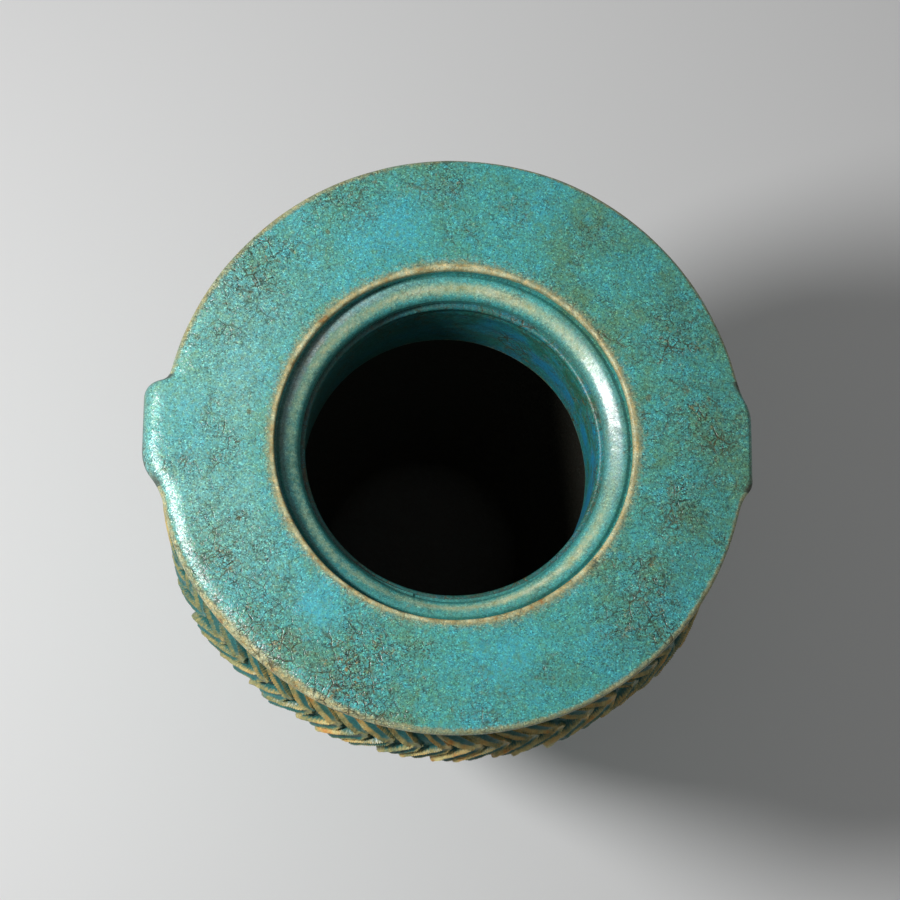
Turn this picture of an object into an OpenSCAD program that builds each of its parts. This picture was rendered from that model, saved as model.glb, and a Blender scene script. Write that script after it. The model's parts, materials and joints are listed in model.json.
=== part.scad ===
// Squat-mouthed faience jar with a wide flat rim, two rim lugs and laurel garlands in relief.
// Every piece stands as its maker formed it: thrown shells that lap into each other, a collar
// let down through the shoulder, a flat rim on the collar, and bands laid into shallow seats.
// The origin is the centre of the foot's resting face, +Z is up and the lugs lie along X.

/* [Body] */
// Overall height from the resting face to the top of the rim
jar_h = 204; // [180:2:230]
// Radius of the body at its widest, without the relief
body_max_r = 84.5; // [78:0.5:92]
// How far the widest place lies below the top of the rim
widest_drop = 32; // [30:1:40]
// Wall thickness of the three shells
wall = 9; // [7:0.5:11]
// Height of the joint between the bowl and the belly
joint_low_z = 72; // [68:1:78]
// Height of the belly from that joint to the one under the shoulder
belly_h = 58; // [54:1:66]
// Height of the lap where one shell seats in the next
lap_h = 4; // [3:0.5:6]

/* [Rim] */
// Outer diameter of the flat rim
rim_d = 170; // [160:2:180]
// Thickness of the rim at its edge
rim_t = 11; // [9:0.5:13]
// Rounding of the rim's top outer edge
rim_edge_r = 3; // [1.5:0.5:4]
// Rounding of the rim's lower outer edge
rim_under_r = 2; // [1:0.5:3]

/* [Mouth] */
// Bore of the collar
collar_d = 86; // [80:1:92]
// How far the ledge's inner edge stands back from that bore
ledge_lip = 1.5; // [0.5:0.25:3]
// Width of the ledge from its inner edge to the wall of the recess that takes a lid
ledge_w = 7.5; // [6:0.5:10]
// Rounding of the recess's top edge
recess_edge_r = 1.5; // [1:0.25:2]
// Depth from the rim's top to the ledge under a lid
recess_depth = 5; // [4:0.5:6]
// How far the ledge's crown stands over the groove beside it
ledge_crown = 1.2; // [0.6:0.1:1.6]
// How far the ledge drops from its crown to its inner edge
ledge_drop = 3.4; // [2.5:0.1:4]
// Width of the groove between the ledge and the recess wall
ledge_groove = 1.6; // [1:0.1:2.4]
// How far the ledge's flange reaches under the rim
ledge_flange = 2; // [1.5:0.5:3]

/* [Collar] */
// Depth of the collar's lower end below the top of the rim
collar_depth = 47; // [42:1:52]
// Wall of the collar where it passes the shoulder
collar_wall = 13; // [11:0.5:15]
// Wall of the collar at its lower end
collar_tip = 7; // [5:0.5:9]
// Reach of the flange that carries the rim on the shoulder
flange_reach = 10; // [6:0.5:14]
// Thickness of that flange
flange_t = 2.5; // [2:0.25:4]

/* [Lugs] */
// Reach of each lug past the edge of the rim
lug_reach = 5; // [3:0.5:7]
// Width of each lug at the rim
lug_root_w = 33; // [28:1:38]
// Width of each lug at its outer edge
lug_tip_w = 26; // [20:1:28]
// Depth of the notch in the rim that holds a lug
lug_notch = 5; // [4:0.5:7]
// How far a lug hangs below the rim
lug_drop = 3; // [1:0.5:3]
// How far both lugs sit behind the centre line
lug_back = 3; // [0:0.5:5]

/* [Foot] */
// Radius of the waist above the foot
waist_r = 36; // [33:0.5:40]
// How far the foot flares out from the waist to its resting edge
foot_flare = 7; // [4:0.5:10]
// Height of the foot ring
foot_h = 14; // [12:0.5:16]
// Wall of the foot ring at the waist
foot_wall = 8; // [6:0.5:12]
// Height of the hollow under the base
foot_hollow = 8; // [6:0.5:10]
// Thickness of the base over that hollow
base_t = 12; // [10:0.5:14]

/* [Relief] */
// How deep a garland is let into the wall
band_seat = 3; // [2:0.25:4]
// How far the leaves stand out of the wall
leaf_relief = 2.6; // [1.5:0.1:3]
// Leaves in each row of the shoulder garland
shoulder_leaves = 64; // [56:1:72]
// Leaves in each row of the belly garland
belly_leaves = 56; // [48:1:64]
// How many leaf spacings a leaf leans back over its length
leaf_lean = 1.6; // [1:0.1:2.2]
// Petals in the calyx round the foot of the bowl
petals = 16; // [12:1:20]
// How far the petals stand out of the wall
petal_relief = 2; // [1:0.1:2.4]
// Width of the plain cords beside the garlands
cord_w = 3.6; // [3:0.2:5]
// How deep a cord is let into the wall
cord_seat = 1.2; // [0.8:0.1:1.6]
// Play between two faces that were luted with slip
slip = 0.1; // [0.1:0.05:0.3]
// Play behind a garland, whose back has flats in a round seat
band_slip = 0.3; // [0.3:0.05:0.5]

/* [Hidden] */
$fn = 128;

rim_r = rim_d / 2;
collar_r = collar_d / 2;
collar_out_r = collar_r + collar_wall;
flange_r = collar_out_r + flange_reach;
ledge_in_r = collar_r + ledge_lip;
recess_r = ledge_in_r + ledge_w;
foot_r = waist_r + foot_flare;
foot_bore_r = waist_r - foot_wall;
rim_z = jar_h - rim_t;
ledge_z = jar_h - recess_depth;
seat_low_z = ledge_z + ledge_crown + slip;
shoulder_z = rim_z - flange_t;
collar_low_z = jar_h - collar_depth;
widest_z = jar_h - widest_drop;
joint_high_z = joint_low_z + belly_h;
floor_z = foot_hollow + base_t;
shoulder_power = 3;
taper_round = 0.75;
curve_step = 4;

// Bands on the body: a cord hides each joint, and a garland's heights are its lower edge,
// its spine and its upper edge.
cord_gap = 2.5;
seam_gap = 1.5;
belly_band_h = 22;
shoulder_band = [widest_z - 3.5, widest_z + 8, widest_z + 15.5];
cord_shoulder_z = shoulder_band[0] - cord_gap - cord_w;
cord_belly_top_z = joint_high_z - seam_gap - cord_w;
belly_top_z = cord_belly_top_z - cord_gap;
belly_band = [belly_top_z - belly_band_h, belly_top_z - belly_band_h / 2, belly_top_z];
cord_belly_low_z = belly_band[0] - cord_gap - cord_w;
cord_calyx_z = joint_low_z + seam_gap;
calyx_low_z = foot_h + 2;
calyx_high_z = joint_low_z - 4;

glaze = "darkturquoise";
dark_glaze = "teal";
worn = "burlywood";

// Outer radius of the plain wall at a height.
function taper(u) = taper_round * sin(90 * u) + (1 - taper_round) * u;
function low_r(z) = waist_r + (body_max_r - waist_r) * taper((z - foot_h) / (widest_z - foot_h));
function arch(t) = pow(max(0, 1 - pow(t, shoulder_power)), 1 / shoulder_power);
function high_r(z) = collar_out_r
    + (body_max_r - collar_out_r) * arch((z - widest_z) / (shoulder_z - widest_z));
function body_r(z) = z < widest_z ? low_r(z) : high_r(z);

// Outline of the wall between two heights, set back by depth.
function run(z0, z1, depth = 0) = let (n = max(1, ceil((z1 - z0) / curve_step)))
    [for (i = [0 : n]) let (z = z0 + (z1 - z0) * i / n) [body_r(z) - depth, z]];

// Outline of the shoulder's crown from a height in to the collar.
function crown(z0, inset = 0) = let (
        width = body_max_r - collar_out_r,
        rise = shoulder_z - widest_z,
        a0 = asin(pow((z0 - widest_z) / rise, shoulder_power / 2)))
    [for (i = [0 : 6]) let (a = a0 + (90 - a0) * i / 6)
        [collar_out_r + width * pow(max(0, cos(a)), 2 / shoulder_power) - inset,
         widest_z + rise * pow(sin(a), 2 / shoulder_power) - inset]];

function reversed(list) = [for (i = [len(list) - 1 : -1 : 0]) list[i]];

// Quarter or other arc of a fillet in a section.
function arc(centre, r, a0, a1, n = 6) =
    [for (i = [0 : n]) let (a = a0 + (a1 - a0) * i / n) centre + r * [cos(a), sin(a)]];

module turned(section) {
    rotate_extrude()
        polygon(section);
}

// Foot ring: flares out to the resting edge and closes round the boss under the bowl.
module foot_ring() {
    toe = 2.5;
    cove = [foot_r + 1, foot_h + 1];
    color(dark_glaze)
        turned(concat(
            [[foot_bore_r, 0]],
            arc([foot_r - toe, toe], toe, -90, 60),
            arc(cove, cove[0] - waist_r, 232, 187, 5),
            [[waist_r, foot_h], [foot_bore_r, foot_h]]));
}

// Bowl: closed below, with the boss that fills the foot ring and a lap for the belly above.
module lower_bowl() {
    dish_h = 10;
    inner_low_z = floor_z + dish_h;
    inner_low_r = body_r(inner_low_z) - wall;
    lap_r = body_r(joint_low_z) - wall / 2;
    color(glaze)
        turned(concat(
            [[0, foot_hollow], [foot_bore_r - slip, foot_hollow], [foot_bore_r - slip, foot_h]],
            run(foot_h, calyx_low_z),
            run(calyx_low_z, calyx_high_z, band_seat),
            run(calyx_high_z, joint_low_z),
            [[lap_r, joint_low_z], [lap_r, joint_low_z + lap_h]],
            [[body_r(joint_low_z + lap_h) - wall, joint_low_z + lap_h]],
            reversed(run(inner_low_z, joint_low_z, wall)),
            [for (a = [15 : 15 : 90]) [inner_low_r * cos(a), inner_low_z - dish_h * sin(a)]]));
}

// Belly: laps over the bowl and carries the lap for the shoulder.
module belly_wall() {
    low_lap_r = body_r(joint_low_z) - wall / 2 + slip;
    high_lap_r = body_r(joint_high_z) - wall / 2;
    color(glaze)
        turned(concat(
            [[low_lap_r, joint_low_z]],
            run(joint_low_z, cord_calyx_z),
            run(cord_calyx_z, cord_calyx_z + cord_w, cord_seat),
            run(cord_calyx_z + cord_w, cord_belly_low_z),
            run(cord_belly_low_z, cord_belly_low_z + cord_w, cord_seat),
            run(cord_belly_low_z + cord_w, belly_band[0]),
            run(belly_band[0], belly_band[2], band_seat),
            run(belly_band[2], cord_belly_top_z),
            run(cord_belly_top_z, cord_belly_top_z + cord_w, cord_seat),
            run(cord_belly_top_z + cord_w, joint_high_z),
            [[high_lap_r, joint_high_z], [high_lap_r, joint_high_z + lap_h]],
            [[body_r(joint_high_z + lap_h) - wall, joint_high_z + lap_h]],
            reversed(run(joint_low_z + lap_h, joint_high_z, wall)),
            [[low_lap_r, joint_low_z + lap_h]]));
}

// Shoulder: turns in over the belly to the seat of the collar.
module shoulder_wall() {
    lap_r = body_r(joint_high_z) - wall / 2 + slip;
    hole_r = collar_out_r + slip;
    ceiling_z = shoulder_z - wall;
    inner_turn_z = widest_z - 4;
    inner_max_r = body_r(inner_turn_z) - wall;
    turn_w = inner_max_r - hole_r;
    turn_h = ceiling_z - inner_turn_z;
    turn_power = 0.8;
    color(glaze)
        turned(concat(
            [[lap_r, joint_high_z]],
            run(joint_high_z, cord_shoulder_z),
            run(cord_shoulder_z, cord_shoulder_z + cord_w, cord_seat),
            run(cord_shoulder_z + cord_w, shoulder_band[0]),
            [for (z = garland_rows(shoulder_band)) [body_r(z) - band_seat, z]],
            crown(shoulder_band[2]),
            [[hole_r, shoulder_z], [hole_r, ceiling_z]],
            [for (a = [80 : -10 : 0])
                [hole_r + turn_w * pow(cos(a), turn_power),
                 inner_turn_z + turn_h * pow(sin(a), turn_power)]],
            reversed(run(joint_high_z + lap_h, inner_turn_z, wall)),
            [[lap_r, joint_high_z + lap_h]]));
}

// Collar: hangs from its flange through the shoulder and carries the rim.
module neck_collar() {
    edge = 1;
    ceiling_z = shoulder_z - wall;
    color(dark_glaze)
        turned(concat(
            [[collar_r + edge, collar_low_z], [collar_r + collar_tip, collar_low_z]],
            [[collar_out_r, ceiling_z], [collar_out_r, shoulder_z]],
            [[flange_r, shoulder_z], [flange_r, rim_z]],
            [[collar_r + edge, rim_z], [collar_r, rim_z - edge]],
            [[collar_r, collar_low_z + edge]]));
}

// Ledge: a ring whose flange is held under the rim and whose crown slopes in to the bore.
module lid_ledge() {
    out_r = recess_r + ledge_flange - slip;
    crown_r = recess_r - ledge_groove;
    crown_w = crown_r - ledge_in_r;
    steps = 8;
    fall_power = 1.7;
    color(worn)
        turned(concat(
            [[ledge_in_r + 0.5, rim_z], [out_r, rim_z], [out_r, ledge_z], [crown_r, ledge_z]],
            [for (i = [0.5 : steps]) let (t = i / steps)
                [crown_r - crown_w * t,
                 ledge_z + ledge_crown - ledge_drop * pow(t, fall_power)]],
            [[ledge_in_r, ledge_z + ledge_crown - ledge_drop], [ledge_in_r, rim_z + 1]]));
}

// Rim: a flat disc with a pocket for the ledge, a notch for each lug and the lid's recess, whose
// upright wall starts over the ledge's crown and slopes into the groove under it.
module rim_disc() {
    color(glaze)
        difference() {
            turned(concat(
                [[recess_r + ledge_flange, rim_z]],
                arc([rim_r - rim_under_r, rim_z + rim_under_r], rim_under_r, -90, 0),
                arc([rim_r - rim_edge_r, jar_h - rim_edge_r], rim_edge_r, 0, 90),
                arc([recess_r + recess_edge_r, jar_h - recess_edge_r], recess_edge_r, 90, 180),
                [[recess_r, seat_low_z], [recess_r - ledge_groove / 2, ledge_z]],
                [[recess_r + ledge_flange, ledge_z]]));
            for (side = [-1, 1])
                translate([side * (rim_r - lug_notch / 2 + 1), lug_back, rim_z + rim_t / 2])
                    cube([lug_notch + 2, lug_root_w + 2 * slip, rim_t + 2], center = true);
        }
}

// Lug: a bracket let into the rim's notch, flush with the top and slanting in underneath.
module lug(side) {
    in_x = rim_r - lug_notch + slip;
    out_x = rim_r + lug_reach;
    low_z = rim_z - lug_drop;
    edge_r = 2.5;
    corner_r = 4;
    face_low_z = rim_z + 1.5;
    tip_y = lug_tip_w / 2 - corner_r;
    translate([0, lug_back, 0])
        mirror([side < 0 ? 1 : 0, 0, 0])
            intersection() {
                translate([0, lug_root_w / 2, 0])
                    rotate([90, 0, 0])
                        linear_extrude(lug_root_w)
                            polygon(concat(
                                [[in_x, low_z], [in_x, jar_h]],
                                arc([out_x - edge_r, jar_h - edge_r], edge_r, 90, -10),
                                [[out_x - edge_r / 2, face_low_z], [rim_r, low_z]]));
                linear_extrude(jar_h)
                    polygon(concat(
                        [[in_x, lug_root_w / 2], [in_x, -lug_root_w / 2],
                         [rim_r, -lug_root_w / 2]],
                        arc([out_x - corner_r, -tip_y], corner_r, -60, 0),
                        arc([out_x - corner_r, tip_y], corner_r, 0, 60),
                        [[rim_r, lug_root_w / 2]]));
            }
}

module lug_left() {
    color(glaze)
        lug(-1);
}

module lug_right() {
    color(glaze)
        lug(1);
}

// Where a garland's rows of points lie, from -1 at its lower edge over 0 at its spine to 1.
row_places = [-1, -0.85, -0.5, -0.1, 0.1, 0.5, 0.85, 1];
function place_z(band, w) = w < 0 ? band[1] + w * (band[1] - band[0])
    : band[1] + (band[2] - band[1]) * sin(90 * w);
function garland_rows(band) = [for (w = row_places) place_z(band, w)];

// Height of a leaf's back: f runs from its sharp edge to the next leaf.
leaf_fall = 1.3;
spine_half = 0.2;
spine_share = 0.75;
function leaf_back(f, w) = leaf_relief * pow(1 - f, leaf_fall) * (1 - pow(abs(w), 4))
    * (abs(w) < spine_half ? spine_share : 1);

// Closed ring of quads: rings is a list of point rows that follow each other round its section.
module ring_of(rings) {
    n = len(rings[0]);
    m = len(rings);
    polyhedron(
        points = [for (row = rings) each row],
        faces = [for (j = [0 : m - 1], i = [0 : n - 1], half = [0, 1])
            let (a = j * n + i, b = j * n + (i + 1) % n,
                 c = (j + 1) % m * n + (i + 1) % n, d = (j + 1) % m * n + i)
            half == 0 ? [a, c, b] : [a, d, c]]);
}

// Garland: two rows of leaves that lean back from a spine, as a band in its seat in the wall.
module garland(band, leaves) {
    edges = [0, 0.5, 0.9];
    pitch = 360 / leaves;
    function row(w, out) = let (z = place_z(band, w))
        [for (k = [0 : leaves - 1], f = edges)
            let (a = (k + f - leaf_lean * abs(w)) * pitch,
                 r = body_r(z) + (out ? leaf_back(f, w) : band_slip - band_seat))
            [r * cos(a), r * sin(a), z]];
    ring_of(concat(
        [for (w = row_places) row(w, true)],
        [for (w = reversed(row_places)) row(w, false)]));
}

module garland_shoulder() {
    color(worn)
        garland(shoulder_band, shoulder_leaves);
}

module garland_belly() {
    color(worn)
        garland(belly_band, belly_leaves);
}

// Calyx: tall pointed petals that rise from the waist, as a band in its seat in the bowl.
module calyx_petals() {
    columns = 8;
    tip_start = 0.55;
    count = petals * columns;
    seats = [for (p = run(calyx_low_z, calyx_high_z)) p[1]];
    function half_width(h) = h < tip_start ? 1 : sqrt(max(0, (1 - h) / (1 - tip_start)));
    function back(u, h) = let (s = abs(2 * u - 1), half = half_width(h))
        s < half ? petal_relief * sqrt(1 - pow(s / half, 2)) : 0;
    function row(z, depth, relief) =
        [for (i = [0 : count - 1])
            let (h = (z - calyx_low_z) / (calyx_high_z - calyx_low_z),
                 r = body_r(z) - depth + (relief ? back((i % columns) / columns, h) : 0),
                 a = i * 360 / count)
            [r * cos(a), r * sin(a), z]];
    color(dark_glaze)
        ring_of(concat(
            [for (z = seats) row(z, 0, true)],
            [for (z = reversed(seats)) row(z, band_seat - slip, false)]));
}

// Cord: a plain half-round ring in a shallow groove of the wall.
module cord(z0) {
    mid_z = z0 + cord_w / 2;
    mid_r = body_r(mid_z);
    lean = atan2(body_r(z0 + cord_w) - body_r(z0), cord_w);
    color(worn)
        turned(concat(
            [[body_r(z0) - cord_seat + slip, z0]],
            [for (a = [-90 : 18 : 90])
                [mid_r + cord_w / 2 * cos(a) + cord_w / 2 * sin(a) * tan(lean),
                 mid_z + cord_w / 2 * sin(a)]],
            [[body_r(z0 + cord_w) - cord_seat + slip, z0 + cord_w]]));
}

module cord_shoulder() {
    cord(cord_shoulder_z);
}

module cord_belly_top() {
    cord(cord_belly_top_z);
}

module cord_belly_low() {
    cord(cord_belly_low_z);
}

module cord_calyx() {
    cord(cord_calyx_z);
}

foot_ring();
lower_bowl();
belly_wall();
shoulder_wall();
neck_collar();
lid_ledge();
rim_disc();
lug_left();
lug_right();
garland_shoulder();
garland_belly();
calyx_petals();
cord_shoulder();
cord_belly_top();
cord_belly_low();
cord_calyx();
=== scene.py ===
# Faience jar: carved relief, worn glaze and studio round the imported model.
import json
import math
import bpy
import numpy as np
from mathutils import Matrix, Vector


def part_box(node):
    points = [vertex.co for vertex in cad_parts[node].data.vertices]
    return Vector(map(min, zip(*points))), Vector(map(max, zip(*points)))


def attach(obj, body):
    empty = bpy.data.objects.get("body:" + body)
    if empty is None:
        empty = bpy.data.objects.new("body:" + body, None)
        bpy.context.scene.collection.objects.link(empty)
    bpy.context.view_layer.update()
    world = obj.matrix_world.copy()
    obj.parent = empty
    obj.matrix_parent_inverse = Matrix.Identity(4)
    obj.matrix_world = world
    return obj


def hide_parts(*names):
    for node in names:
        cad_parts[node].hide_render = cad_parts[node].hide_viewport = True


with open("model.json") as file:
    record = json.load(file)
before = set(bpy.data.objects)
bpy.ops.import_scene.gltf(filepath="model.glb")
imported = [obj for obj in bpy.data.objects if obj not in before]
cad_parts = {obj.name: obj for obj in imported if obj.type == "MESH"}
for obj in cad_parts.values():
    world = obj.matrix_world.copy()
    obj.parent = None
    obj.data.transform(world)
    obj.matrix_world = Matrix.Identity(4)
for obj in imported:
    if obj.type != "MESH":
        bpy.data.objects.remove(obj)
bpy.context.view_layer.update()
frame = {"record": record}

# Sizes are in millimetres, as in the CAD, and meshes are written in metres.
MM = 0.001


def node_box(name):
    low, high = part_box(name)
    return low / MM, high / MM


def mount_radius(name):
    return next(m["dims"]["r_mm"] for m in frame["record"]["mounts"] if m["name"] == name)


rim_box, lug_box = node_box("rim_disc"), node_box("lug_right")
RIM_LOW, JAR_H, RIM_R = rim_box[0].z, rim_box[1].z, rim_box[1].y
RECESS_R = mount_radius("lid_seat")
NECK_R = mount_radius("neck_bore")
LEDGE_OUT_R, LEDGE_TOP = node_box("lid_ledge")[1].y, node_box("lid_ledge")[1].z
COLLAR_LOW = node_box("neck_collar")[0].z
FLANGE_R = node_box("neck_collar")[1].y
JOINT_HIGH, SHOULDER_Z = node_box("shoulder_wall")[0].z, node_box("shoulder_wall")[1].z
JOINT_LOW = node_box("belly_wall")[0].z
BOSS_LOW = node_box("lower_bowl")[0].z
FOOT_R, FOOT_H = node_box("foot_ring")[1].y, node_box("foot_ring")[1].z
LUG_LOW, LUG_ROOT_R = lug_box[0].z, lug_box[0].x
LUG_REACH = lug_box[1].x - RIM_R
LUG_Y = (lug_box[0].y + lug_box[1].y) / 2
LUG_HALF = (lug_box[1].y - lug_box[0].y) / 2

# The plain wall's outline, as the CAD draws it.
WAIST_R = 36.0
BODY_MAX_R = 84.5
WIDEST_Z = JAR_H - 32
COLLAR_OUT_R = NECK_R + 13
TAPER_ROUND = 0.75
SHOULDER_POWER = 3.0
WALL = 9.0
LAP_H = 4.0
SLIP = 0.1
BAND_SEAT = 3.0
CORD_SEAT = 1.2
LEDGE_IN_R = 44.5
LEDGE_Z = LEDGE_TOP - 1.2
FOOT_BORE_R = 28.0
FLOOR_Z = 20.0

RNG_SEED = 20
SHARP_DEG = 38

# Lobes of the pot's outline: how many, their share of the radius, and their turn in radians.
OUT_OF_ROUND = ((2, 0.0020, -0.5), (3, 0.0016, 0.9), (5, 0.0008, 0.3))


# Noise and soft steps

NOISE_CELLS = 32
OCTAVE_SHIFT = 9.7
lattice = np.random.default_rng(RNG_SEED).random((NOISE_CELLS,) * 3)


def value_noise(points):
    """Smooth random values from 0 to 1 at points given in cells."""
    cell = np.floor(points).astype(int)
    f = points - cell
    f = f * f * (3 - 2 * f)
    total = 0
    for corner in np.ndindex(2, 2, 2):
        weight = 1
        for axis in range(3):
            weight = weight * (f[..., axis] if corner[axis] else 1 - f[..., axis])
        index = tuple((cell[..., axis] + corner[axis]) % NOISE_CELLS for axis in range(3))
        total = total + weight * lattice[index]
    return total


def fractal(points, size, octaves=3, shift=0.0):
    """Layered noise from -1 to 1 whose largest features are size millimetres apart."""
    total, amplitude, reach = 0, 1.0, 0
    for octave in range(octaves):
        place = points / size * 2**octave + shift + OCTAVE_SHIFT * octave
        total = total + amplitude * (2 * value_noise(place) - 1)
        reach += amplitude
        amplitude /= 2
    return total / reach


def ease(low, high, x):
    """0 at low and 1 at high, rising smoothly between them."""
    t = np.clip((x - low) / (high - low), 0, 1)
    return t * t * (3 - 2 * t)


def bell(x, centre, width, power=2):
    """1 at the centre, falling away on both sides; a high power gives it a flat top."""
    return np.exp(-((x - centre) / width) ** power)


def radius_of(points):
    return np.hypot(points[..., 0], points[..., 1])


def clock_of(points):
    """Azimuth in degrees from 0 to 360: 0 is the right lug and 270 the front."""
    return np.degrees(np.arctan2(points[..., 1], points[..., 0])) % 360


def signed(clock):
    """The same azimuth from -180 to 180, for places near 0."""
    return (clock + 180) % 360 - 180


# Mesh building

def wobble(points):
    """The whole pot's hand-made unevenness: out of round towards the rim, true at the foot."""
    x, y, z = points[..., 0], points[..., 1], points[..., 2]
    angle = np.arctan2(y, x)
    swell = sum(share * np.cos(lobes * (angle + turned)) for lobes, share, turned in OUT_OF_ROUND)
    grow = 1 + swell * np.clip(z / JAR_H, 0, 1)
    return np.stack([x * grow, y * grow, z], -1)


def grid_normals(points):
    """Normals of a grid that closes on itself in both directions."""
    along = np.roll(points, -1, 1) - np.roll(points, 1, 1)
    up = np.roll(points, -1, 0) - np.roll(points, 1, 0)
    normal = np.cross(along, up)
    length = np.linalg.norm(normal, axis=-1, keepdims=True)
    return normal / np.maximum(length, 1e-9)


def raised(grid, height):
    """The grid moved out along its normals by the height given for each point."""
    return grid + grid_normals(grid) * height[..., None]


def turn(grid, angle):
    """Section points as radius and height, one for all angles or one for each, round the Z axis."""
    radius, height = grid[..., 0], grid[..., 1]
    return np.stack(np.broadcast_arrays(radius * np.cos(angle), radius * np.sin(angle), height), -1)


def ring_points(outline, count):
    return turn(outline[:, None], np.arange(count) * 2 * math.pi / count)


GLAZE_FIELDS = ("worn", "pool", "soot", "stain", "clear", "pale", "crest")


def add_object(name, data):
    item = bpy.data.objects.new(name, data)
    bpy.context.scene.collection.objects.link(item)
    return item


def make_piece(name, points, faces, fields, nodes, slot):
    mesh = bpy.data.meshes.new(name)
    mesh.from_pydata((points * MM).tolist(), [], faces)
    for field in GLAZE_FIELDS:
        values = fields.get(field, np.zeros(len(points)))
        attribute = mesh.attributes.new(field, "FLOAT", "POINT")
        attribute.data.foreach_set("value", np.ascontiguousarray(values, dtype=np.float32))
    mesh.materials.append(glazes[slot])
    mesh.shade_smooth()
    mesh.set_sharp_from_angle(angle=math.radians(SHARP_DEG))
    piece = add_object(name, mesh)
    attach(piece, "root")
    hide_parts(*nodes)


def ring_faces(rows, count, close_rows=True):
    row = np.arange(rows if close_rows else rows - 1)[:, None] * count
    column = np.arange(count)
    next_row = (row + count) % (rows * count)
    next_column = (column + 1) % count
    quads = np.stack([row + column, row + next_column, next_row + next_column, next_row + column], -1)
    return quads.reshape(-1, 4).tolist()


def ring_piece(name, grid, fields, slot, node):
    """A closed ring whose section rows run anticlockwise seen with the axis on the left."""
    rows, count = grid.shape[:2]
    flat = {key: value.reshape(-1) for key, value in fields.items()}
    make_piece(name, wobble(grid).reshape(-1, 3), ring_faces(rows, count), flat, [node], slot)


def dish_piece(name, grid, fields, slot, node):
    """A solid whose section starts and ends on the axis: its first and last rows are poles."""
    rows, count = grid.shape[:2]

    def with_poles(values):
        return np.concatenate([values[count:-count], values[:1], values[-1:]])

    faces = ring_faces(rows - 2, count, close_rows=False)
    first, top = (rows - 2) * count, (rows - 3) * count
    for c in range(count):
        after = (c + 1) % count
        faces.append([first, after, c])
        faces.append([first + 1, top + c, top + after])
    flat = {key: with_poles(value.reshape(-1)) for key, value in fields.items()}
    make_piece(name, with_poles(wobble(grid).reshape(-1, 3)), faces, flat, [node], slot)


# Sections

def body_r(z):
    """Radius of the plain outer wall."""
    z = np.asarray(z, float)
    u = (z - FOOT_H) / (WIDEST_Z - FOOT_H)
    taper = TAPER_ROUND * np.sin(math.pi / 2 * u) + (1 - TAPER_ROUND) * u
    low = WAIST_R + (BODY_MAX_R - WAIST_R) * taper
    t = np.clip((z - WIDEST_Z) / (SHOULDER_Z - WIDEST_Z), 0, 1)
    high = COLLAR_OUT_R + (BODY_MAX_R - COLLAR_OUT_R) * (1 - t**SHOULDER_POWER) ** (1 / SHOULDER_POWER)
    return np.where(z < WIDEST_Z, low, high)


def wall_point(z, depth):
    return float(body_r(z)) - depth, z


def wall_run(z0, z1, depth=0.0, step=1.2):
    z = np.linspace(z0, z1, max(2, int(abs(z1 - z0) / step) + 1))
    return np.stack([body_r(z) - depth, z], -1)


def crown(z0, count=10):
    """The shoulder from height z0 over to the collar."""
    rise = SHOULDER_Z - WIDEST_Z
    start = math.asin(((z0 - WIDEST_Z) / rise) ** (SHOULDER_POWER / 2))
    a = np.linspace(start, math.pi / 2, count)
    radius = COLLAR_OUT_R + (BODY_MAX_R - COLLAR_OUT_R) * np.maximum(np.cos(a), 0) ** (2 / SHOULDER_POWER)
    return np.stack([radius, WIDEST_Z + rise * np.sin(a) ** (2 / SHOULDER_POWER)], -1)


def arc(centre, radius, start, end, count):
    a = np.radians(np.linspace(start, end, count))
    return np.stack([centre[0] + radius * np.cos(a), centre[1] + radius * np.sin(a)], -1)


def path(start, *legs):
    """Straight runs from point to point: each leg is its end point and its step."""
    runs = []
    a = np.array(start, float)
    for end, step in legs:
        b = np.array(end, float)
        count = max(2, int(np.linalg.norm(b - a) / step) + 1)
        runs.append(a + (b - a) * np.linspace(0, 1, count)[:, None])
        a = b
    return np.vstack(runs)


def smooth_run(points, count):
    """A curve through the points, rounded at each of them."""
    points = np.array(points, float)
    padded = np.vstack([2 * points[0] - points[1], points, 2 * points[-1] - points[-2]])
    place = np.linspace(0, len(points) - 1, count)
    k = np.minimum(place.astype(int), len(points) - 2)
    t = (place - k)[:, None]
    a, b, c, d = (padded[k + i] for i in range(4))
    return b + 0.5 * t * (c - a + t * (2 * a - 5 * b + 4 * c - d + t * (3 * (b - c) + d - a)))


def section(*runs):
    """One closed outline from several runs of points, without the points that repeat."""
    points = np.vstack([np.atleast_2d(run) for run in runs])
    keep = np.linalg.norm(points - np.roll(points, 1, 0), axis=1) > 1e-6
    return points[keep]


# Materials

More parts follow.
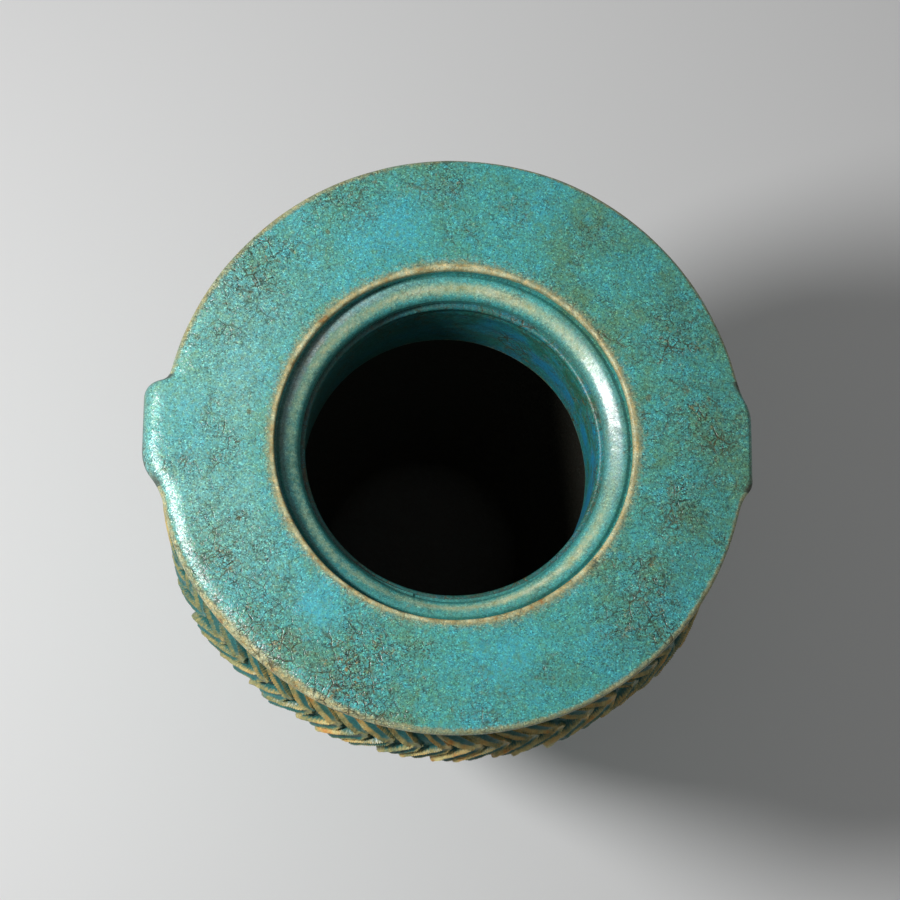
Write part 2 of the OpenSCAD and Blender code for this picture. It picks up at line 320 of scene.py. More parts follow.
class Shade:
    """Short names for the shader nodes that the glazes share."""

    def __init__(self, name):
        self.material = bpy.data.materials.new(name)
        self.material.use_nodes = True
        self.tree = self.material.node_tree
        self.shader = self.tree.nodes["Principled BSDF"]
        place = self.node("TexCoord", {}, "Object")
        self.place = self.vector("MULTIPLY", place, (1 / MM,) * 3)

    def link(self, value, socket):
        if isinstance(value, bpy.types.NodeSocket):
            self.tree.links.new(value, socket)
        else:
            socket.default_value = value

    def node(self, kind, inputs, output=0, **settings):
        node = self.tree.nodes.new("ShaderNode" + kind)
        for key, value in settings.items():
            setattr(node, key, value)
        for key, value in inputs.items():
            self.link(value, node.inputs[key])
        return node.outputs[output]

    def moved(self, offset):
        return self.node("Mapping", {"Vector": self.place, "Location": offset})

    def noise(self, size, detail=3, roughness=0.55, offset=(0, 0, 0)):
        return self.node("TexNoise", {"Vector": self.moved(offset), "Scale": 1 / size,
                                      "Detail": detail, "Roughness": roughness}, "Fac")

    def cells(self, size, offset, warp=None, feature="F1", output="Distance"):
        vector = self.moved(offset)
        if warp is not None:
            vector = self.vector("ADD", vector, warp)
        return self.node("TexVoronoi", {"Vector": vector, "Scale": 1 / size}, output, feature=feature)

    def warp(self, size, amount):
        colour = self.node("TexNoise", {"Vector": self.place, "Scale": 1 / size, "Detail": 2}, "Color")
        centred = self.vector("SUBTRACT", colour, (0.5, 0.5, 0.5))
        return self.vector("MULTIPLY", centred, (amount,) * 3)

    def vector(self, operation, a, b=(0, 0, 0)):
        return self.node("VectorMath", {0: a, 1: b}, operation=operation)

    def math(self, operation, value, *others):
        """One operation over two or more values, from left to right."""
        for other in others:
            value = self.node("Math", {0: value, 1: other}, operation=operation)
        return value

    def add(self, *values):
        return self.math("ADD", *values)

    def times(self, *values):
        return self.math("MULTIPLY", *values)

    def minus(self, a, b):
        return self.math("SUBTRACT", a, b)

    def at_most(self, value, limit):
        return self.math("MINIMUM", value, limit)

    def step(self, value, low, high):
        return self.node("MapRange", {"Value": value, "From Min": low, "From Max": high},
                         interpolation_type="SMOOTHSTEP")

    def ramp(self, value, stops):
        colour = self.node("ValToRGB", {"Fac": value})
        elements = colour.node.color_ramp.elements
        while len(elements) < len(stops):
            elements.new(0.5)
        for element, (position, tone) in zip(elements, stops):
            element.position = position
            element.color = (*tone, 1)
        return colour

    def mix(self, fac, a, b, blend="MIX"):
        a, b = ((*value, 1) if isinstance(value, tuple) else value for value in (a, b))
        return self.node("Mix", {0: fac, 6: a, 7: b}, 2, data_type="RGBA", blend_type=blend)

    def field(self, name):
        return self.node("Attribute", {}, "Fac", attribute_name=name)


TURQUOISE = (0.074, 0.372, 0.335)
CYAN = (0.065, 0.425, 0.475)
SEA_GREEN = (0.100, 0.305, 0.205)
# The tone of painted sheen.
SHEEN_BLUE = (0.240, 0.530, 0.480)
# Dark tone of pooled glaze, also used for painted shade.
DEEP_TEAL = (0.012, 0.080, 0.070)
NECK_BLUE = (0.018, 0.245, 0.245)
SLATE = (0.038, 0.185, 0.180)
CELADON = (0.420, 0.520, 0.320)
OLIVE = (0.130, 0.135, 0.060)
CRACK = (0.030, 0.044, 0.021)
RUST_CRACK = (0.062, 0.054, 0.020)
EDGE_OLIVE = (0.270, 0.330, 0.200)
TAN = (0.370, 0.345, 0.160)
CREAM = (0.590, 0.590, 0.350)
OCHRE = (0.320, 0.175, 0.050)
# Dark brown for dirt and for painted shade.
SHADE_AND_DIRT = (0.050, 0.040, 0.028)
MOSS = (0.080, 0.130, 0.065)

# Nets of crackle: cell size, line width, strength and offset.
CRACK_NETS = ((2.3, 0.10, 0.85, (0, 0, 0)), (6.2, 0.045, 1.0, (4, 4, 4)))

# Quartz grains: their size, how light each one is, and the tint of small groups of them.
GRAIN_SIZE = 0.33
GRAIN_LIGHT = ((0.0, (0.10,) * 3), (0.16, (0.36,) * 3), (0.40, (0.92,) * 3), (0.74, (1.15,) * 3),
               (0.90, (1.65, 1.6, 1.55)), (1.0, (2.9, 2.6, 2.4)))
GRAIN_TINT = ((0.34, (1.30, 1.00, 0.74)), (0.50, (1.0, 1.0, 1.0)), (0.66, (0.82, 1.0, 1.14)))


def ground(s, base, sheen, stain):
    """Large and small patches of the glaze's three tones, with a sheen tone mixed in where a sheen is
    painted.
    """
    # The clearings, and the painted light on the collar's lit side, lean towards the third tone.
    patches = s.add(s.times(s.noise(16, 4, 0.6, (3, 7, 1)), 0.6),
                    s.times(s.noise(45, detail=2, offset=(40, 11, 5)), 0.4),
                    s.times(s.field("clear"), 0.30))
    colour = s.ramp(patches, tuple(zip((0.38, 0.49, 0.70), base)))
    small = s.noise(4.5, 4, 0.65, (21, 3, 8))
    colour = s.mix(s.times(s.step(small, 0.52, 0.68), 0.6 * stain), colour, base[2])
    colour = s.mix(s.times(s.step(small, 0.46, 0.34), 0.5 * stain), colour, base[0])
    # Painted sheen: a lighter tone mixed in where the sheen field is set.
    return s.mix(s.field("pale"), colour, sheen), small


def stained(s, colour, stain):
    """Olive clouds, mossy mottling and rusty flecks, with none on the clearings and where light is
    painted.
    """
    blotch = s.step(s.noise(13, 5, 0.7, (9, 30, 2)), 0.46, 0.72)
    dirt = s.times(s.add(s.times(blotch, 0.55), s.field("stain")), stain, s.minus(1.0, s.field("clear")))
    cloud = s.step(s.noise(3.2, 5, 0.75, (2, 2, 2)), 0.40, 0.66)
    colour = s.mix(s.at_most(s.times(dirt, cloud, 0.55), 0.7), colour, OLIVE)
    mottle = s.step(s.noise(1.0, 3, 0.8, (1, 9, 2)), 0.47, 0.62)
    colour = s.mix(s.at_most(s.times(dirt, mottle, 0.62), 0.7), colour, MOSS)
    rust = s.step(s.noise(2.6, 5, 0.75, (7, 3, 1)), 0.57, 0.65)
    return s.mix(s.times(rust, s.at_most(dirt, 1.0), 0.8), colour, OCHRE), dirt


def pooled_shaded_and_worn(s, colour, edge, wear):
    """Pooled glaze in hollows, the same dark tone used as painted shade, and bare body on worn edges."""
    # The dark pooled tone, which also carries painted shade.
    colour = s.mix(s.field("pool"), colour, DEEP_TEAL)
    breakup = s.minus(s.noise(1.5, 4, 0.75, (8, 2, 3)), 0.5)
    worn = s.add(s.field("worn"), s.times(breakup, 0.9))
    bare = s.ramp(s.noise(4.5, 4, 0.65, (1, 1, 6)), tuple(zip((0.32, 0.42, 0.62), wear)))
    colour = s.mix(s.step(worn, 0.08, 0.46), colour, edge)
    colour = s.mix(s.step(worn, 0.40, 0.78), colour, bare)
    return s.mix(s.step(s.field("crest"), 0.35, 0.9), colour, CREAM), worn


def crackled(s, colour, dirt, stain):
    """Nets of fine dark lines and specks, plain where dirt has got in and faint elsewhere."""
    warp = s.warp(3.0, 1.8)
    lines = []
    for size, width, share, offset in CRACK_NETS:
        net = s.cells(size, offset, warp, "DISTANCE_TO_EDGE")
        gaps = s.step(s.noise(size * 1.6, 3, 0.65, offset), 0.42, 0.60)
        lines.append(s.times(s.minus(1.0, s.step(net, width * 0.3, width)), gaps, share))
    speck = s.cells(1.25, (5, 1, 8), s.warp(0.9, 0.7))
    lines.append(s.times(s.minus(1.0, s.step(speck, 0.08, 0.24)), 0.7))
    amount = s.at_most(s.add(s.times(dirt, 1.25), 0.12 * stain), 0.95)
    lines = s.times(s.math("MAXIMUM", *lines), amount)
    crack = s.ramp(s.noise(7, detail=2, offset=(3, 8, 8)), ((0.42, CRACK), (0.58, RUST_CRACK)))
    colour = s.mix(lines, colour, crack)
    spot = s.cells(21, (5, 1, 8), s.warp(3, 1.5))
    spot = s.minus(1.0, s.step(spot, 0.03, 0.06))
    return s.mix(s.times(spot, 0.7 * stain), colour, OLIVE), lines


def grained(s, colour, facets, dirt, small, worn, grain):
    """Quartz grains of many tones, strongest where the glaze is dirty and least where it is worn."""
    pick = s.node("SeparateColor", {0: facets}).node.outputs
    coarse = s.add(s.times(dirt, 0.40), s.times(s.step(small, 0.40, 0.65), 0.15), 0.55)
    smooth = s.math("MAXIMUM", s.step(worn, 0.2, 0.7), s.field("clear"))
    coarse = s.times(s.minus(coarse, s.times(smooth, 0.30)), grain)
    coarse = s.at_most(s.math("MAXIMUM", coarse, 0.0), 1.0)
    colour = s.mix(coarse, colour, s.ramp(pick[0], GRAIN_LIGHT), "MULTIPLY")
    tint = s.ramp(s.noise(1.3, 3, 0.7, (6, 6, 1)), GRAIN_TINT)
    return s.mix(0.8 * grain, colour, tint, "MULTIPLY"), pick[2]


glazes = {}


def glaze(name, base=(SEA_GREEN, TURQUOISE, CYAN), edge=EDGE_OLIVE, wear=(OCHRE, TAN, CREAM),
          sheen=SHEEN_BLUE, stain=1.0, grain=1.0, sparkle=0.5, gloss=0.20, matt=0.22, bumps=1.0, ior=1.6):
    """Alkaline copper glaze: patchy turquoise, dirty crackle, worn edges and tilted quartz grains."""
    s = Shade(name)
    colour, small = ground(s, base, sheen, stain)
    colour, dirt = stained(s, colour, stain)
    colour, worn = pooled_shaded_and_worn(s, colour, edge, wear)
    colour, lines = crackled(s, colour, dirt, stain)
    facets = s.cells(GRAIN_SIZE, (2, 5, 9), output="Color")
    colour, steepness = grained(s, colour, facets, dirt, small, worn, grain)
    # Dark brown mixed in for dirt and for painted shade.
    colour = s.mix(s.field("soot"), colour, SHADE_AND_DIRT)
    rough = s.add(s.times(s.noise(1.1), 0.20), gloss, s.times(s.step(worn, 0.3, 0.8), matt),
                  s.times(s.field("soot"), 0.3))
    height = s.add(s.times(s.noise(0.9), 0.10), s.times(s.noise(5), 0.35))
    height = s.minus(height, s.times(lines, 0.07))
    bump = s.node("Bump", {"Strength": bumps, "Distance": MM, "Height": height})
    steep = s.add(s.times(s.step(steepness, 0.80, 0.88), 0.9 * sparkle), 0.35 * sparkle)
    tilt = s.vector("SUBTRACT", facets, (0.5, 0.5, 0.5))
    tilt = s.node("VectorMath", {0: tilt, "Scale": steep}, operation="SCALE")
    facing = s.vector("NORMALIZE", s.vector("ADD", bump, tilt))
    for key, value in (("Base Color", colour), ("Roughness", rough), ("Normal", facing), ("IOR", ior)):
        s.link(value, s.shader.inputs[key])
    glazes[name] = s.material


glaze("rim_glaze")
glaze("body_glaze")
glaze("mouth_glaze", base=((0.020, 0.150, 0.095), NECK_BLUE, (0.013, 0.24, 0.43)), stain=1.1,
      grain=0.6, sparkle=0.25, gloss=0.34)
# The ledge's light grey tone carries its painted sheen and painted highlight.
glaze("ledge_glaze", base=((0.08, 0.30, 0.25), (0.07, 0.38, 0.36), (0.07, 0.42, 0.45)),
      edge=(0.24, 0.44, 0.32), wear=((0.28, 0.32, 0.15), CELADON, (0.50, 0.60, 0.42)),
      sheen=(0.42, 0.50, 0.50), stain=0.4, grain=0.6, sparkle=0.10, matt=0.0, bumps=0.35)
glaze("relief_glaze", base=((0.05, 0.17, 0.12), SLATE, (0.03, 0.22, 0.24)),
      edge=(0.24, 0.25, 0.11), wear=((0.54, 0.25, 0.06), (0.55, 0.37, 0.12), (0.54, 0.50, 0.22)),
      stain=0.4, grain=0.5, sparkle=0.25, ior=1.42)


# Rim and lugs share one outline, cut where each lug is let into the rim.

RIM_COLUMNS = 1200
RIM_EDGE_R = 1.1
SOFT_EDGE_R = 2.0
RIM_UNDER_R = 2.0
UNDERCUT = 1.5
RECESS_EDGE_R = 0.9
LUG_EDGE_R = 3.0
LUG_UNDER_R = 3.5
LUG_UNDERCUT = 1.6
LUG_RAMP = 6.0
SEAM = 0.0004
RIGHT_REACH = 2.0  # the right lug is worn down
SOFT_DROP = 2.1
SOFT_RUN = 6.5

# Points on the rim's top, the top's edge, the side, the lower edge and the underside.
RIM_COUNTS = (8, 12, 6, 5, 4)

# Where the rim bulges, and where its edge is worn most: azimuth, width in degrees, strength.
RIM_SWELL = ((75, 48, 0.8), (203, 13, 0.9))
RIM_WEAR = ((228, 22, 1.0), (270, 34, 0.55), (140, 34, 0.62), (317, 17, 0.45))
SOFT_AT = 203
# Azimuth of the painted sheen on the left of the rim's flat.
SHEEN_AT = 176
# Azimuth of the painted shade on the right of the rim's flat.
SHADED_SIDE_AT = -8

# The two worn ends of each lug: a point on the end, as the distance out from the rim and the
# place across, the direction that the end faces, and how softly it meets the rest.
LEFT_ENDS = ((0, 18.0, 0.26, 0.966, 4.2), (0.5, -13.4, 0.817, -0.577, 2.4))
RIGHT_ENDS = ((-0.9, 15.6, 0.82, 0.57, 2.2), (-0.3, -14.6, 0.75, -0.66, 1.6))

# Stains and clear patches that the photograph shows on the rim: x, y, radius, strength.
STAINS = ((-62, 51, 17, 0.7), (-68, -36, 15, 0.8), (-70, -8, 10, 0.35), (-30, -68, 16, 1.0),
          (-52, -56, 15, 0.9), (54, -46, 14, 0.75), (64, -20, 12, 0.5), (-4, 76, 8, 0.8),
          (72, 4, 13, 0.7), (-30, 74, 10, 0.55), (66, 36, 12, 0.55), (40, 62, 10, 0.35),
          (10, -78, 9, 0.35), (-64, 30, 10, 0.5))
CLEARINGS = ((-41, -49, 7, 1.0), (14, -63, 12, 0.7), (-16, 63, 11, 0.6), (-78, 10, 8, 0.4),
             (26, 66, 9, 0.4), (-58, 22, 14, 0.35))


def bells(clock, table):
    return sum(strength * bell(clock, azimuth, width) for azimuth, width, strength in table)


def smooth_max(a, b, k):
    h = np.clip(0.5 + 0.5 * (a - b) / k, 0, 1)
    return b + (a - b) * h + k * h * (1 - h)


def smooth_min(a, b, k):
    return -smooth_max(-a, -b, k)


def lug_share(angle):
    """0 on the plain rim and 1 on a lug."""
    y = RIM_R * np.sin(angle) - LUG_Y
    return ease(LUG_HALF, LUG_HALF - LUG_RAMP, np.abs(y))


def lug_bracket(x, y, reach, ends):
    """Below 0 inside a lug that reaches out along x."""
    bracket = x - (RIM_R + reach)
    for out, across, x_share, y_share, softness in ends:
        end = (x - (RIM_R + out)) * x_share + (y - across) * y_share
        bracket = smooth_max(bracket, end, softness)
    return bracket


def rim_outline(angle):
    """Outer radius of the rim's top, lugs included: the circle blended with two worn brackets."""
    swell = bells(np.degrees(angle) % 360, RIM_SWELL)
    radius = np.linspace(RIM_R - 3, RIM_R + LUG_REACH + 3, 240)[:, None]
    x, y = radius * np.cos(angle), radius * np.sin(angle)
    left = lug_bracket(-x, y, LUG_REACH, LEFT_ENDS)
    right = lug_bracket(x, y, RIGHT_REACH, RIGHT_ENDS)
    bracket = np.maximum(np.where(x < 0, left, right), np.abs(y - LUG_Y) - LUG_HALF - 4)
    inside = smooth_min(radius - RIM_R - swell, bracket, 2.0)
    crossing = np.argmax(inside > 0, axis=0)
    column = np.arange(len(angle))
    low, high = inside[crossing - 1, column], inside[crossing, column]
    share = -low / (high - low)
    return radius[crossing - 1, 0] + share * (radius[1, 0] - radius[0, 0])


def spread(a, b, count):
    share = np.linspace(0, 1, count)[:, None]
    return np.array(a) * (1 - share) + np.array(b) * share


def rim_profile(edge, low, top_r, under, side_in):
    """Outer part of the rim's section, from its top at LUG_ROOT_R round to its underside."""
    top, edge_turn, side, low_turn, back = RIM_COUNTS
    corner = (edge - side_in, low + under)
    return np.vstack([
        spread((LUG_ROOT_R, JAR_H), (edge - top_r, JAR_H), top),
        arc((edge - top_r, JAR_H - top_r), top_r, 90, 0, edge_turn)[1:],
        spread((edge, JAR_H - top_r), corner, side)[1:],
        arc((corner[0] - under, corner[1]), under, 0, -90, low_turn)[1:],
        spread((corner[0] - under, low), (LUG_ROOT_R, low), back)[1:]])


def rim_outside(edge, share, soft):
    """The outer section at every angle: the plain rim, and the bracket's where there is a lug."""
    crisp = rim_profile(RIM_R, RIM_LOW, RIM_EDGE_R, RIM_UNDER_R, UNDERCUT)
    plain = rim_profile(RIM_R, RIM_LOW, SOFT_EDGE_R, RIM_UNDER_R, UNDERCUT)
    lug = rim_profile(RIM_R + LUG_REACH, LUG_LOW, LUG_EDGE_R, LUG_UNDER_R, LUG_UNDERCUT)
    bulge = (lug[:, 0] - plain[:, 0])[:, None]
    plain = crisp[:, None] + (plain - crisp)[:, None] * soft[:, None]
    outer = plain * (1 - share[:, None]) + lug[:, None] * share[:, None]
    outer[..., 0] = plain[..., 0] + (edge - RIM_R) * (bulge / bulge.max())
    return outer


def recess_section():
    """The rest of the rim's section: underside, seat over the ledge, recess wall and top."""
    seat_r = LEDGE_OUT_R + SLIP
    return section(
        path((LUG_ROOT_R, RIM_LOW), ((seat_r, RIM_LOW), 6), ((seat_r, LEDGE_Z), 2),
             ((RECESS_R - 0.4, LEDGE_Z), 1), ((RECESS_R, LEDGE_Z + 1.0), 0.6),
             ((RECESS_R, JAR_H - RECESS_EDGE_R), 0.7)),
        arc((RECESS_R + RECESS_EDGE_R, JAR_H - RECESS_EDGE_R), RECESS_EDGE_R, 180, 90, 9),
        path((RECESS_R + RECESS_EDGE_R, JAR_H), ((LUG_ROOT_R, JAR_H), 0.9)))[1:-1]


def rim_angles():
    """Evenly spread angles, with a close pair at each end of each lug where the pieces part."""
    even = np.arange(RIM_COLUMNS) * 2 * math.pi / RIM_COLUMNS
    ends = [math.asin((LUG_Y + side * LUG_HALF) / RIM_R) for side in (-1, 1)]
    seams = np.array([ends[1], math.pi - ends[1], math.pi - ends[0], 2 * math.pi + ends[0]])
    away = np.abs(even[:, None] - seams).min(1) > 0.6 * even[1]
    twins = np.concatenate([seams - 0.5 * SEAM, seams + 0.5 * SEAM])
    return np.sort(np.concatenate([even[away], twins])), ends


def spots(points, table):
    total = np.zeros(points.shape[:-1])
    for x, y, radius, strength in table:
        away = np.hypot(points[..., 0] - x, points[..., 1] - y)
        total = np.maximum(total, strength * bell(away, 0, radius))
    return (total * (0.75 + 0.7 * fractal(points, 9, shift=11))).clip(0, 1)


def rim_fields(full, radius, angle, edge, share):
    """The glaze's wear, pools and dirt on the rim and its lugs; painted shade on the right of the flat,
    on the lugs' sides and ends, there with dirt, and under the rim; and painted sheen on the left of the
    flat.
    """
    clock, z = clock_of(full), full[..., 2]
    heavy = bells(clock, RIM_WEAR)
    outward = radius - edge + RIM_R
    band = 1.0 + 1.4 * heavy + 0.5 * fractal(full, 12, 2, shift=6)
    outer_worn = ease(RIM_R - 1.5 * band, RIM_R - 0.3 * band, outward)
    outer_worn = outer_worn * (0.50 + 0.34 * heavy) * (1 - 0.85 * share)
    from_edge = np.abs(radius - RECESS_R - 0.55)
    inner_worn = bell(from_edge, 0, 0.75) * 0.56 + 0.44 * bell(radius, RECESS_R, 3.4)
    above = ease(LEDGE_Z + 2.2, LEDGE_Z + 3.8, z)
    worn = np.maximum(outer_worn, inner_worn * above) * (0.90 + 0.45 * fractal(full, 22, 2, shift=8))
    crest = 0.60 * bell(from_edge, 0, 0.45) * above * (0.8 + 0.8 * fractal(full, 9, shift=14))
    crest = np.maximum(crest, 0.9 * ease(RIM_R - 2.2, RIM_R - 0.6, outward) * heavy
                       * (0.55 + 0.9 * fractal(full, 7, shift=2)) * (1 - share))
    pool = (1 - ease(LEDGE_Z, LEDGE_Z + 2.6, z)) * (radius < RECESS_R + 1.5) * 0.30
    # Painted shade: the outer flat is darker on the right, away from the lamp.
    shaded_ring = ease(RECESS_R + 12, RIM_R - 10, radius) * ease(RIM_R, RIM_R - 5, radius)
    pool = np.maximum(pool, 0.18 * bell(signed(clock), SHADED_SIDE_AT, 72, 4) * shaded_ring)
    pool = np.maximum(pool, 0.30 * share * ease(RIM_R + 3.2, RIM_R + 4.8, radius))
    # The lug ends get dark brown, partly dirt and partly painted shade; the lugs' side faces below their
    # tops get painted shade.
    lug_tip = np.abs(RIM_R * np.sin(angle) - LUG_Y) - LUG_HALF + 1.0
    soot = bell(lug_tip, 0, 3.0) * ease(-2.8, -0.6, radius - edge)
    soot = np.maximum(soot, ease(JAR_H - 2.5, JAR_H - 5, z) * (radius > RIM_R + 0.5) * 0.8)
    soot = soot * (share > 0) * 0.85
    # Painted shade under the rim, on its lowest part.
    low_side = ease(RIM_LOW + 7, RIM_LOW + 1, z) * (radius > LUG_ROOT_R)
    soot = np.maximum(soot, 0.55 * low_side)
    # Painted sheen: the outer flat is made lighter towards the left, where the lamp is near.
    pale = 0.70 * bell(clock, SHEEN_AT, 42) * ease(RECESS_R - 4, RECESS_R + 12, radius)
    pale = pale * (0.8 + 0.6 * fractal(full, 20, shift=15))
    return {"worn": worn * (1 - 0.8 * soot), "pool": pool, "soot": soot, "pale": pale.clip(0, 1),
            "crest": crest.clip(0, 1), "stain": spots(full, STAINS), "clear": spots(full, CLEARINGS)}


def make_rim():
    angle, ends = rim_angles()
    columns = len(angle)
    edge = rim_outline(angle)
    share = lug_share(angle)
    soft = 0.12 + 0.88 * bell(np.degrees(angle) % 360, SOFT_AT, 52, 4)
    outer = rim_outside(edge, share, soft)
    rows = len(outer)
    full = turn(np.concatenate([outer, np.repeat(recess_section()[:, None], columns, 1)]), angle)
    radius = radius_of(full)
    uneven = 0.26 * fractal(full, 30) + 0.07 * fractal(full, 6, shift=4)
    free = ease(RIM_LOW + 0.1, RIM_LOW + 2, full[..., 2])
    full = raised(full, uneven * free)
    # The flat dips softly to its outer edge, most of all at the left where it is worn.
    on_top = ease(JAR_H - 3.2, JAR_H - 0.5, full[..., 2])
    near_edge = np.clip(1 - (edge - radius) / SOFT_RUN, 0, 1.2)
    dip = SOFT_DROP * soft * near_edge**2 * np.where(radius > RIM_R - 12, 1, on_top)
    full[..., 2] -= dip * ease(RIM_LOW, RIM_LOW + 6, full[..., 2])
    fields = rim_fields(full, radius, angle, edge, share)

    on_lug = {"lug_right": (angle > ends[0] % (2 * math.pi)) | (angle < ends[1]),
              "lug_left": (angle > math.pi - ends[1]) & (angle < math.pi - ends[0])}
    down = np.linspace(0, 1, rows)[:, None, None]
    foot = turn(np.array([[[LUG_ROOT_R, RIM_LOW]]]), angle)
    notch = full[:1] * (1 - down) + foot * down
    disc = full.copy()
    for held in on_lug.values():
        disc[:rows][:, held] = notch[:, held]
    ring_piece("rim_finish", disc[::-1], {key: value[::-1] for key, value in fields.items()},
               "rim_glaze", "rim_disc")
    for node, held in on_lug.items():
        chosen = np.nonzero(held)[0]
        if held[0]:
            chosen = np.concatenate([chosen[chosen > columns // 2], chosen[chosen <= columns // 2]])
        make_lug(node, full[:rows][:, chosen],
                 {key: value[:rows][:, chosen] for key, value in fields.items()})


def make_lug(node, outside, fields):
    """A lug: the rim's outline between its two ends, closed by the face let into the notch."""
    lift = np.linspace(0, 1, 7)[1:-1, None, None]
    back = outside[-1] * (1 - lift) + outside[0] * lift
    grid = wobble(np.concatenate([outside, back]))
    loop, count = grid.shape[:2]
    rows = [(r * count, (r + 1) % loop * count) for r in range(loop)]
    faces = [[a + c, b + c, b + c + 1, a + c + 1] for a, b in rows for c in range(count - 1)]
    hub, last = loop * count, count - 1
    faces += [[hub, b, a] for a, b in rows]
    faces += [[hub + 1, a + last, b + last] for a, b in rows]
    points = np.vstack([grid.reshape(-1, 3), grid[:, 0].mean(0), grid[:, -1].mean(0)])
    flat = {key: np.append(np.concatenate([value, np.repeat(value[-1:], len(back), 0)]), (0, 0))
            for key, value in fields.items()}
    make_piece(node + "_finish", points, faces, flat, [node], "rim_glaze")


# Ledge and collar

MOUTH_COLUMNS = 720
ROLL_TOP_R = 50.1
ROLL_LOW_R = 45.3
LIP_R = 44.85
LEFT_DROP = 0.55
FRONT_WIDENING = 1.3
COLLAR_BEAD = 1.0
COLLAR_LOW_EDGE = 0.7

# The roll's slope in degrees at distances in from its crown.
ROLL_PLACES = (0, 0.8, 1.6, 3.9, 4.8)
ROLL_SLOPES = (0, 20, 25, 30, 44)

# Azimuths of the ledge's low side, which also gets painted shade, its wide front, its painted glint and
# its painted sheen, and the collar's lit side, where light and shade are painted.
LEDGE_LOW_AT = 195
LEDGE_WIDE_AT = 268
LEDGE_GLINT_AT = 8
LEDGE_SHEEN_AT = 145
COLLAR_LIT_AT = 20


def ledge_section():
    """A rounded roll: a soft groove beside the recess wall, a crown, and a slope in to the bore."""
    reach = np.linspace(ROLL_TOP_R, ROLL_LOW_R, 34)
    fall = np.tan(np.radians(np.interp(ROLL_TOP_R - reach, ROLL_PLACES, ROLL_SLOPES)))
    drop = np.concatenate([[0], np.cumsum((fall[1:] + fall[:-1]) / 2 * -np.diff(reach))])
    roll = np.stack([reach, LEDGE_TOP - drop], -1)
    outer = smooth_run([(RECESS_R - 0.15, LEDGE_TOP - 0.85), (51.4, LEDGE_TOP - 0.60),
                        (ROLL_TOP_R + 0.6, LEDGE_TOP - 0.12), (ROLL_TOP_R, LEDGE_TOP)], 14)
    lip = smooth_run([roll[-1], (LIP_R, roll[-1, 1] - 0.60), (LEDGE_IN_R, LEDGE_TOP - 3.6)], 10)
    return section(
        path((LEDGE_IN_R + 0.5, RIM_LOW), ((LEDGE_OUT_R, RIM_LOW), 3), ((LEDGE_OUT_R, LEDGE_Z), 3),
             ((RECESS_R, LEDGE_Z), 0.6)),
        outer, roll, lip,
        path((LEDGE_IN_R, LEDGE_TOP - 4), ((LEDGE_IN_R, RIM_LOW + 1), 0.6)))


def make_ledge():
    grid = ring_points(ledge_section(), MOUTH_COLUMNS)
    radius = radius_of(grid)
    seen = ease(LEDGE_OUT_R - 1.5, RECESS_R - 0.9, radius) * (grid[..., 2] > RIM_LOW + 0.5)
    uneven = 0.13 * fractal(grid, 14) + 0.06 * fractal(grid, 3, 2)
    grid = raised(grid, seen * uneven)
    clock = clock_of(grid)
    left = bell(clock, LEDGE_LOW_AT, 62, 4)
    grid[..., 2] -= LEFT_DROP * left * seen
    front = FRONT_WIDENING * bell(clock, LEDGE_WIDE_AT, 42)
    front = front * ease(49, 45.5, radius) * (grid[..., 2] > RIM_LOW + 1.5)
    grid[..., :2] *= (1 + front / np.maximum(radius, 1))[..., None]
    middle = 47.3 + 0.5 * fractal(grid, 16, 2, shift=9)
    # Painted highlight round the lamp's glint on the ledge's right.
    painted_glint = bell(signed(clock), LEDGE_GLINT_AT, 34)
    worn = seen * bell(radius, middle, 1.7) * (0.78 + 0.5 * fractal(grid, 13, shift=2))
    # Less worn tone on the left, as part of its painted shade, and under the painted glint on the right.
    worn = worn * (1 - 0.6 * left) * (1 - 0.75 * painted_glint)
    pool = 0.55 * bell(radius, 51.4, 0.7) + 0.35 * ease(45.6, 44.6, radius)
    # Painted shade: the left side, in the rim's shadow, gets the dark pooled tone.
    pool = np.maximum(pool, left * (0.50 + 0.3 * fractal(grid, 10, shift=5)))
    # Painted sheen: a light grey patch on the ledge at the back left, where it lies in shade.
    sheen = bell(clock, LEDGE_SHEEN_AT, 32) * bell(radius, 49.8, 1.9, 4)
    sheen = sheen * (0.85 + 0.6 * fractal(grid, 4, shift=8))
    # Painted highlight: the light grey tone added round the glint.
    sheen = np.maximum(sheen, 0.5 * painted_glint * bell(radius, 47.4, 2.6))
    fields = {"worn": worn, "pool": (pool * (1 - 0.9 * sheen)).clip(0, 1), "pale": sheen.clip(0, 0.9),
              "stain": (0.2 + 0.9 * fractal(grid, 9, shift=31)).clip(0, 1)}
    ring_piece("ledge_finish", grid, fields, "ledge_glaze", "lid_ledge")


